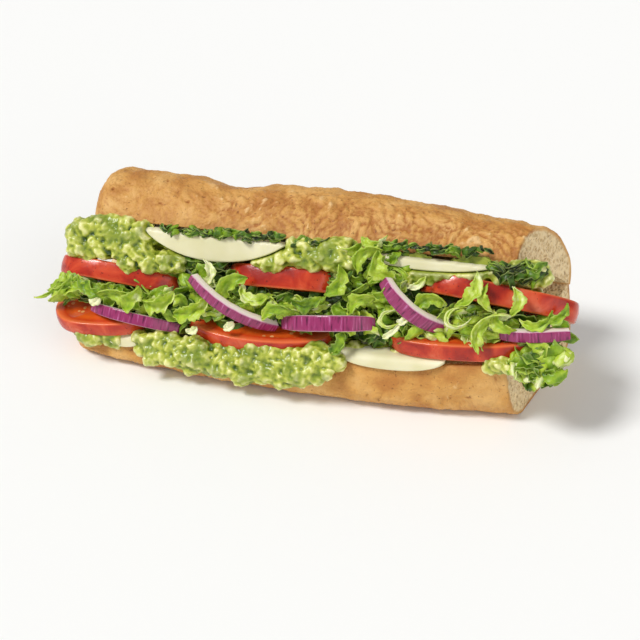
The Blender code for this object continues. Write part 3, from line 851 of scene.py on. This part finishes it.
def strip(bm, draw, x, up, out, heading, length, width, tone, bend, lift, turn, twist, curl, point,
          ragged=0.4, grid=(20, 6)):
    """A strip of leaf on the open front: x, up and out give its middle, and heading its direction
    there. Its tone and its nearness to an edge are kept for the colours."""
    tone_layer, edge_layer = bm.verts.layers.float["tone"], bm.verts.layers.float["edge"]
    made = bmesh.ops.create_grid(bm, x_segments=grid[0], y_segments=grid[1], size=0.5)["verts"]
    phase = draw.uniform(0, 90)
    slant = draw.uniform(-0.5, 0.5)
    for vert in made:
        t, w = 2 * vert.co.x, 2 * vert.co.y
        rough = 1 + 2 * ragged * noise.noise(Vector((t * length * 0.16, phase, 3 * w)))
        rough += ragged * noise.noise(Vector((t * length * 0.45, phase, 5 * w)))
        half = width / 2 * max(1 - abs(t) ** point, 0.2) * rough
        run = (t + slant * w * width / length * 0.5) * length / 2
        way = heading + bend * t
        angle = turn + twist * t
        cup = curl * (w * w - 0.4) * half
        ripple = 1.2 * noise.noise(Vector((t * length * 0.2, w * 1.3, phase)))
        side = w * half * math.cos(angle) - cup * math.sin(angle) + bend * run * t / 2
        stand = lift * (1 - t * t) + w * half * math.sin(angle) + cup * math.cos(angle) + ripple
        spot = Vector((run * math.cos(way) - side * math.sin(way),
                       run * math.sin(way) + side * math.cos(way)))
        vert.co = front(x + spot.x, up + spot.y, out + stand)
        vein = 0.05 * math.cos(9 * w + 2 * t)
        # The tone rises with the ripple: painted highlight where the strip stands out, painted
        # shade where it dips
        vert[tone_layer] = tone + 0.1 * t * math.copysign(1, slant) + vein + 0.1 * ripple
        vert[edge_layer] = max(abs(w), abs(t) ** 3)


# Shreds deeper in the heap and those under the top half's edge are given darker tones, as painted
# shade
# Random shreds: x from and to, height up the front from and to, how far out of it from and to, how
# many, their usual length, their width from and to, and their tone from and to
SHRED_ZONES = [
    (-108, -82, 17, 21, -3, 1, 20, 13, (3, 6), (0.1, 0.42)),
    (-82, -56, 9, 22, -3, 1, 34, 14, (3, 6.5), (0.1, 0.42)),
    (-56, -28, 8, 30, -3, 1, 34, 14, (3, 6.5), (0.1, 0.42)),
    (-30, 18, 12, 24, -3, 1, 46, 14, (3, 6.5), (0.1, 0.42)),
    (14, 42, 10, 46, -3, 1, 48, 12, (3, 6.5), (0.1, 0.42)),
    (42, 108, 10, 24, -3, 1, 54, 14, (3, 6.5), (0.1, 0.42)),
    (-108, -82, 18, 22, 1, 4, 18, 12, (2.2, 5.5), (0.4, 0.8)),
    (-108, -98, 19, 25, 1, 4, 10, 9, (2.2, 5), (0.4, 0.8)),
    (-82, -58, 12, 22, 1, 4.5, 20, 13, (2.2, 5.5), (0.4, 0.8)),
    (-54, -30, 12, 30, 1, 4.5, 18, 12, (2.2, 5.5), (0.4, 0.85)),
    (-52, -36, 30, 37, -1, 2, 14, 8, (3, 6), (0.2, 0.55)),
    (-30, 18, 17, 22, 0, 3, 34, 10, (2.2, 5.5), (0.38, 0.85)),
    (16, 42, 12, 45, 1, 5, 44, 10, (2.2, 5.5), (0.38, 0.8)),
    (44, 106, 12, 23, 1, 5, 46, 12, (2.2, 5.5), (0.38, 0.85)),
    (-64, -8, 47.2, 49.5, 2.5, 4, 66, 5, (1.2, 2.8), (0.05, 0.5)),
    (-8, 16, 45, 48, 2.5, 4.5, 18, 6, (1.2, 2.6), (0.05, 0.45)),
    (26, 78, 46.8, 49.3, 2.5, 4, 44, 5, (1.2, 2.6), (0.05, 0.5)),
]
# The same for the dark shreds behind the right-hand upper tomato slice, and at the cut end
DARK_ZONES = [(78, 97, 38, 43.5, 3.0, 6.0, 60, 8, (1.4, 3.2), (0.0, 0.45))]
END_ZONES = [(92, 112, -1, 10, 3, 6, 26, 11, (4, 8), (0.3, 0.85))]

# Leaves that stand out in the heap: x, up, out, heading, length, width, tone, bend, lift, turn,
# twist, curl and point
LEAVES = [
    (-106, 20, 5, 0.6, 15, 4, 0.55, 0.3, 2, 0.4, 0.5, 0.4, 3),
    (-99, 22, 5, 0.15, 17.6, 5, 0.62, -0.3, 2, -0.3, 0.4, 0.5, 4),
    (-91, 20, 6, -0.3, 19.4, 5, 0.46, 0.2, 2, 0.2, 0.6, 0.5, 5),
    (-113, 17, 6, 0.55, 12.3, 1.4, 0.62, 0.2, 1, 0.1, 0.3, 0.2, 2),
    (-79, 20, 7, -0.2, 22.9, 5.8, 0.6, -0.2, 2, 0.5, -0.6, 0.6, 5),
    (-72, 18, 8, 0.9, 12.3, 6.5, 0.66, 0.2, 3, 0.3, 0.8, 0.8, 5),
    (-60, 17, 8, 0.3, 15.8, 6.5, 0.7, 0.3, 3, 0.4, -0.5, 0.9, 6),
    (-45, 15, 8, 0.5, 17.6, 6.5, 0.68, 0.2, 3, 0.2, 0.3, 1.1, 5),
    (-39, 31, 7, 1.4, 14.1, 3.6, 0.96, 0.5, 2, 0.3, 0.6, 0.7, 6),
    (-31, 27, 8, 0.9, 17.6, 6.5, 0.62, -0.3, 2, 0.4, -0.7, 0.6, 4),
    (-21, 22, 7, -0.35, 15, 4.3, 0.8, 0.4, 2, -0.4, 0.5, 0.5, 6),
    (-9, 19, 7, 0.3, 15.8, 5, 0.55, -0.3, 3, 0.4, 0.8, 0.6, 5),
    (3, 21, 6, 0.1, 14.1, 5.8, 0.4, 0.3, 2, 0.5, -0.5, 0.6, 5),
    (17, 31, 7, 1.2, 15, 5.8, 0.58, 0.4, 3, 0.3, 0.7, 0.7, 5),
    (24, 44, 5, 0.8, 15.8, 5.8, 0.64, -0.4, 2, 0.5, 0.6, 0.6, 4),
    (32, 38, 7, -0.9, 15.8, 6.5, 0.68, 0.3, 3, -0.4, 0.8, 0.7, 5),
    (37, 28, 8, 0.4, 13.2, 5.8, 0.52, 0.3, 2, 0.5, -0.6, 0.6, 5),
    (25, 25, 6, 0.6, 14.1, 5.8, 0.62, -0.3, 3, 0.3, 0.7, 0.8, 5),
    (28, 48, 4, 0.1, 12.3, 3.6, 0.74, 0.4, 2, 0.3, 0.5, 0.5, 4),
    (20, 6, 7, 1.2, 10.6, 5, 0.4, 0.2, 1, 0.2, 0.3, 0.5, 6),
    (49, 33, 8, 0.7, 8.8, 3.2, 0.9, 0.2, 1, 0.4, 0.3, 0.4, 3),
    (54, 28, 8, 0.3, 15.8, 5.8, 0.64, -0.4, 3, 0.5, 0.5, 0.8, 5),
    (72, 31, 9, 1.1, 17.6, 6.5, 0.72, 0.3, 3, -0.3, 0.6, 0.6, 2),
    (76, 29, 9, 1.9, 12.3, 4.3, 0.66, -0.3, 3, 0.4, -0.6, 0.6, 2),
    (90, 29, 9, 1.6, 13.2, 5.8, 0.74, 0.3, 2, 0.4, 0.5, 0.6, 2),
    (63, 19, 10, -1.1, 17.6, 2.2, 0.86, 0.9, 2, 0.3, 0.9, 0.5, 4),
    (77, 19, 9, 0.95, 22.9, 5, 0.76, -0.4, 3, 0.6, 0.7, 0.9, 6),
    (84, 19, 8, -0.6, 13.2, 4.3, 0.66, 0.3, 3, 0.4, 0.6, 0.6, 4),
    (99, 20, 8, 0.35, 15.8, 4.3, 0.62, 0.4, 2, 0.4, 0.6, 0.6, 3),
    (107, 24, 7, 0.8, 12.3, 3.6, 0.5, 0.3, 2, 0.3, 0.6, 0.5, 3),
    (36, 17, 9, -1.2, 13.2, 1.9, 0.82, 0.8, 2, 0.3, 0.7, 0.4, 4),
    (41, 13, 8, 0.8, 8.8, 2.4, 1.05, 0.1, 1, 0.3, 0.2, 0.6, 8),
    (-89, 16, 9, 0.6, 5, 3, 1.05, 0.1, 1, 0.3, 0.2, 0.5, 8),
    (-44, 7, 9, 0.6, 5, 3, 1.05, 0.1, 1, 0.3, 0.2, 0.5, 8),
    (-28, 10, 9, 0.6, 5, 3, 1.05, 0.1, 1, 0.3, 0.2, 0.5, 8),
    (45, 18, 9, 0.6, 5, 3, 1.05, 0.1, 1, 0.3, 0.2, 0.5, 8),
]


def shaded_lettuce_core(u, v):
    """The middle of the heap, behind the shreds, painted dark as shade."""
    x = -101.0 + 203.0 * u
    fullness = end_fullness(u, 7.0, 0.35)
    corners = [
        front(x, 8.0, -2.5),
        front(x, 29.0 + 13.0 * math.exp(-(((x - 30) / 13) ** 2)), -2.5),
        top_edge(x) + BACKWARD * 38 - OUTWARD * 12.5,
        Vector((x, 10.0, cut_face(x, 10.0) + 4.0)),
    ]
    side, share = divmod(4 * (v % 1.0), 1.0)
    here, after = corners[int(side)], corners[(int(side) + 1) % 4]
    middle = sum(corners, Vector()) / 4
    point = middle + (here + (after - here) * share - middle) * fullness
    # Its tone of 0.12 is painted shade: the heap's middle is coloured dark
    return point + noise.noise_vector(point * 0.2) * 1.2, 0.12, 0.0


def lettuce_shreds(name, look, zones, leaves, seed, node):
    """Leaves and random shreds of lettuce, as one thin piece."""
    draw = random.Random(seed)
    bm = bmesh.new()
    bm.verts.layers.float.new("tone")
    bm.verts.layers.float.new("edge")
    for x0, x1, up0, up1, out0, out1, count, length, widths, tones in zones:
        for _ in range(count):
            strip(
                bm, draw, draw.uniform(x0, x1), draw.uniform(up0, up1), draw.uniform(out0, out1),
                draw.uniform(-0.8, 0.9), length * draw.uniform(0.6, 1.3), draw.uniform(*widths),
                draw.uniform(*tones), bend=draw.uniform(-0.35, 0.35), lift=draw.uniform(0, 3),
                turn=draw.uniform(-0.6, 0.9), twist=draw.uniform(-0.8, 0.8),
                curl=draw.uniform(-0.6, 1.2), point=draw.uniform(4, 12), ragged=0.45,
                grid=(11, 4) if length > 8 else (7, 3))
    for leaf in leaves:
        strip(bm, draw, *leaf)
    bmesh.ops.recalc_face_normals(bm, faces=bm.faces)
    thickened(finished(name, bm, look, node), SHRED_THICKNESS)


def end_leaf(u, v):
    """The ruffled leaf that hangs over the bottom half at the cut end."""
    x = 90.0 + 21.0 * u + 1.6 * v * noise.noise(Vector((6 * u, 4 * v, 7.5)))
    ruffle = (2.8 * math.sin(11 * u + 1.0) + 1.7 * math.sin(23 * u)) * v
    ruffle += 3.0 * v * noise.noise(Vector((11 * u, 4 * v, 0.5)))
    up = 11.5 - 15.0 * v * (0.75 + 0.4 * math.sin(3.1 * u)) + 1.0 * math.sin(12 * u)
    up += 1.5 * v * noise.noise(Vector((22 * u, 0, 3)))
    # The tone follows the ruffle: painted highlight on the folds that stand out, painted shade in
    # those that sink back
    tone = 0.46 + 0.11 * ruffle
    return front(x, up, 2.2 + 3.0 * v + ruffle), tone, smooth_step(v, 0.9, 1.0)


# Settings, one operator for each kind of piece, and the panel that lists them
def colour_setting(name, description, colour):
    return FloatVectorProperty(
        name=name, description=description, subtype="COLOR", default=linear(colour))


class RollSettings(bpy.types.PropertyGroup):
    crust_dark: colour_setting("Crust, dark", "The crust's browner patches", "B97C3A")
    crust_middle: colour_setting("Crust", "The crust's main colour", "D0994F")
    crust_light: colour_setting("Crust, light", "The crust's paler patches", "DFAE68")
    crumb_colour: colour_setting("Crumb", "The bread inside the crust", "EFD6A6")
    relief: FloatProperty(
        name="Relief", description="How strongly the crust is wrinkled", default=1.0, min=0.0,
        subtype="FACTOR")


class FillingSettings(bpy.types.PropertyGroup):
    # The deep and light mash colours are painted shade in the mash's hollows and painted highlight
    # on its lumps
    mash_hollow_shade: colour_setting("Mash, deep", "Mash in its hollows", "2F4D0C")
    mash_middle: colour_setting("Mash", "The mash's main colour", "929F2C")
    mash_lump_highlight: colour_setting("Mash, light", "Mash on its lumps", "BCC24C")
    leaf_dark: colour_setting("Leaf, dark", "The darkest leaves", "466A12")
    leaf_middle: colour_setting("Leaf", "The leaves' main colour", "86A722")
    leaf_light: colour_setting("Leaf, light", "The palest leaves", "B6CB40")
    skin_dark: colour_setting("Tomato skin, dark", "The skin's deeper red", "9C1D0B")
    skin_middle: colour_setting("Tomato skin", "The skin's main red", "B92F14")
    onion_dark: colour_setting("Onion, dark", "The onion skin's dark veins", "4F1238")
    onion_middle: colour_setting("Onion", "The onion skin's main purple", "962F62")
    onion_light: colour_setting("Onion, light", "The onion skin's pale veins", "BD6A9C")
    cheese_colour: colour_setting("Cheese", "The white cheese", "E3DDBA")
    cheese_thickness: FloatProperty(
        name="Cheese thickness", description="How thick a slice of cheese is, in millimetres",
        default=1.9, min=0.5, max=4.0)
    seed: IntProperty(name="Seed", description="Which random shreds are drawn", default=17, min=0)


class StageSettings(bpy.types.PropertyGroup):
    floor_colour: colour_setting("Floor", "The plain floor", "F4F4F2")
    key_strength: FloatProperty(
        name="Key light", description="The key light's strength, in watts per square metre",
        default=2.25, min=0.0)
    sky_strength: FloatProperty(
        name="Surroundings", description="How bright the plain white surroundings are",
        default=0.42, min=0.0)
    lens: FloatProperty(
        name="Lens", description="The camera's focal length, in millimetres", default=80.0,
        min=20.0)
    azimuth: FloatProperty(
        name="Azimuth", description="How far right of the front the camera stands",
        default=math.radians(15), subtype="ANGLE")
    elevation: FloatProperty(
        name="Elevation", description="How far above the floor the camera looks from",
        default=math.radians(35.5), subtype="ANGLE")


class AddRoll(bpy.types.Operator):
    """Add both halves of the roll"""
    bl_idname = "sandwich.add_roll"
    bl_label = "Roll"

    def execute(self, context):
        settings = context.scene.sandwich_roll
        look = baked_crust(settings)
        bread_piece(
            "bottom_half", bottom_section, lambda angle, x: 0.3, 0.9 * settings.relief, look,
            "bread_bottom")
        bread_piece(
            "top_half", top_section, flaky_at, settings.relief, look, "bread_top")
        return {"FINISHED"}


class AddTomatoes(bpy.types.Operator):
    """Add the tomato slices of both rows"""
    bl_idname = "sandwich.add_tomatoes"
    bl_label = "Tomato"

    def execute(self, context):
        look = ripe_tomato(context.scene.sandwich_filling)
        for number, sizes in enumerate(TOMATOES, 1):
            tomato_slice(number, look, *sizes)
        return {"FINISHED"}


class AddOnions(bpy.types.Operator):
    """Add the pieces of red onion ring"""
    bl_idname = "sandwich.add_onions"
    bl_label = "Red onion"

    def execute(self, context):
        look = red_onion(context.scene.sandwich_filling)
        for number, sizes in enumerate(ONIONS, 1):
            onion_ring(number, look, *sizes)
        return {"FINISHED"}


class AddCheese(bpy.types.Operator):
    """Add the slices of white cheese"""
    bl_idname = "sandwich.add_cheese"
    bl_label = "Cheese"

    def execute(self, context):
        settings = context.scene.sandwich_filling
        look = white_cheese(settings)
        slices = [(upper_cheese, *sizes) for sizes in UPPER_CHEESE]
        slices += [(lower_cheese, *sizes) for sizes in LOWER_CHEESE]
        for number, (shape, x, half_length, droop) in enumerate(slices, 1):
            bm = thin_sheet(60, 24, lambda u, v: shape(u, v, x, half_length, droop))
            node = f"cheese_{number}"
            piece = finished(f"{node}_slice", bm, look, node)
            thickened(piece, settings.cheese_thickness, 1)
        return {"FINISHED"}


class AddAvocado(bpy.types.Operator):
    """Add the two layers of mashed avocado"""
    bl_idname = "sandwich.add_avocado"
    bl_label = "Mashed avocado"

    def execute(self, context):
        look = mashed_avocado(context.scene.sandwich_filling)
        mash_piece("lower_mash", lower_bed, LOWER_MOUNDS, 3, look, "avocado_lower")
        mash_piece("upper_mash", upper_bed, UPPER_MOUNDS, 5, look, "avocado_upper")
        return {"FINISHED"}


class AddLettuce(bpy.types.Operator):
    """Add the shredded lettuce and the leaf at the cut end"""
    bl_idname = "sandwich.add_lettuce"
    bl_label = "Lettuce"

    def execute(self, context):
        settings = context.scene.sandwich_filling
        look = lettuce_leaf(settings)
        # The heap's middle, coloured dark as painted shade
        core = rolled(120, 60, shaded_lettuce_core, "tone", "edge")
        finished("lettuce_middle", core, look, "lettuce_heap")
        lettuce_shreds("lettuce_shreds", look, SHRED_ZONES, LEAVES, settings.seed, "lettuce_heap")
        lettuce_shreds("dark_shreds", look, DARK_ZONES, [], settings.seed + 1, "lettuce_back")
        lettuce_shreds("end_shreds", look, END_ZONES, [], settings.seed + 2, "lettuce_end")
        leaf = finished(
            "end_leaf", thin_sheet(90, 30, end_leaf, "tone", "edge"), look,
            "lettuce_end")
        thickened(leaf, LEAF_THICKNESS)
        return {"FINISHED"}


FLOOR_REACH = 15.0  # how far the floor reaches to each side, in metres


class AddStage(bpy.types.Operator):
    """Add the floor, the lights and the camera"""
    bl_idname = "sandwich.add_stage"
    bl_label = "Stage"

    def execute(self, context):
        settings = context.scene.sandwich_stage
        bm = bmesh.new()
        bmesh.ops.create_grid(bm, x_segments=1, y_segments=1, size=FLOOR_REACH)
        mesh = bpy.data.meshes.new("studio_floor")
        bm.to_mesh(mesh)
        bm.free()
        mesh.materials.append(matt_floor(settings))
        floor = bpy.data.objects.new("studio_floor", mesh)
        context.scene.collection.objects.link(floor)
        for name, place, angle, strength in (
            ("key_light", (-0.5, -0.35, 0.8), 18, settings.key_strength),
            ("front_fill", (0.8, -0.6, 0.4), 60, 0.35 * settings.key_strength),
        ):
            lamp = bpy.data.lights.new(name, "SUN")
            lamp.energy, lamp.angle = strength, math.radians(angle)
            light = bpy.data.objects.new(name, lamp)
            light.location = place
            light.rotation_euler = (-Vector(place)).to_track_quat("-Z", "Y").to_euler()
            context.scene.collection.objects.link(light)
        world = bpy.data.worlds.new("white_surroundings")
        world.use_nodes = True
        background = world.node_tree.nodes["Background"]
        background.inputs["Color"].default_value = (1, 1, 1, 1)
        background.inputs["Strength"].default_value = settings.sky_strength
        context.scene.world = world
        context.scene.view_settings.view_transform = "Standard"
        self.add_camera(context, settings)
        return {"FINISHED"}

    def add_camera(self, context, settings):
        """The camera sees the roll's own origin near the middle of a picture 640 pixels wide."""
        sensor, width = 36.0, 640
        pixels = settings.lens / sensor * width
        right_of_centre, below_centre, depth = -1, 20, 0.64  # of the roll's own origin
        a, e = settings.azimuth, settings.elevation
        back = Vector((math.sin(a) * math.cos(e), -math.cos(a) * math.cos(e), math.sin(e)))
        right = back.cross(Vector((0, 0, -1))).normalized()
        above = back.cross(right)
        ray = -back + right * right_of_centre / pixels - above * below_centre / pixels
        data = bpy.data.cameras.new("camera")
        data.lens, data.sensor_width = settings.lens, sensor
        camera = bpy.data.objects.new("camera", data)
        camera.location = SHIFT - ray * depth
        camera.rotation_euler = Matrix((right, above, back)).transposed().to_euler()
        context.scene.collection.objects.link(camera)
        context.scene.camera = camera


class SandwichPanel(bpy.types.Panel):
    """Lists the pieces of the sandwich and what can be changed"""
    bl_idname = "VIEW3D_PT_sandwich"
    bl_label = "Avocado Sandwich"
    bl_space_type = "VIEW_3D"
    bl_region_type = "UI"
    bl_category = "Sandwich"

    def draw(self, context):
        for operator in PIECES:
            self.layout.operator(operator.bl_idname)
        for name in SETTINGS:
            group = getattr(context.scene, name)
            for key in group.__annotations__:
                self.layout.prop(group, key)


PIECES = (AddStage, AddRoll, AddAvocado, AddCheese, AddTomatoes, AddOnions, AddLettuce)
SETTINGS = {
    "sandwich_roll": RollSettings,
    "sandwich_filling": FillingSettings,
    "sandwich_stage": StageSettings,
}


def register():
    for group in SETTINGS.values():
        bpy.utils.register_class(group)
    for item in (*PIECES, SandwichPanel):
        bpy.utils.register_class(item)
    for name, group in SETTINGS.items():
        setattr(bpy.types.Scene, name, PointerProperty(type=group))


def unregister():
    for name in SETTINGS:
        delattr(bpy.types.Scene, name)
    for item in (SandwichPanel, *reversed(PIECES)):
        bpy.utils.unregister_class(item)
    for group in reversed(SETTINGS.values()):
        bpy.utils.unregister_class(group)


def main():
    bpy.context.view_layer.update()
    register()
    bpy.ops.sandwich.add_stage()
    bpy.ops.sandwich.add_roll()
    bpy.ops.sandwich.add_avocado()
    bpy.ops.sandwich.add_cheese()
    bpy.ops.sandwich.add_tomatoes()
    bpy.ops.sandwich.add_onions()
    bpy.ops.sandwich.add_lettuce()
    bpy.context.view_layer.update()


if __name__ == "__main__":
    main()
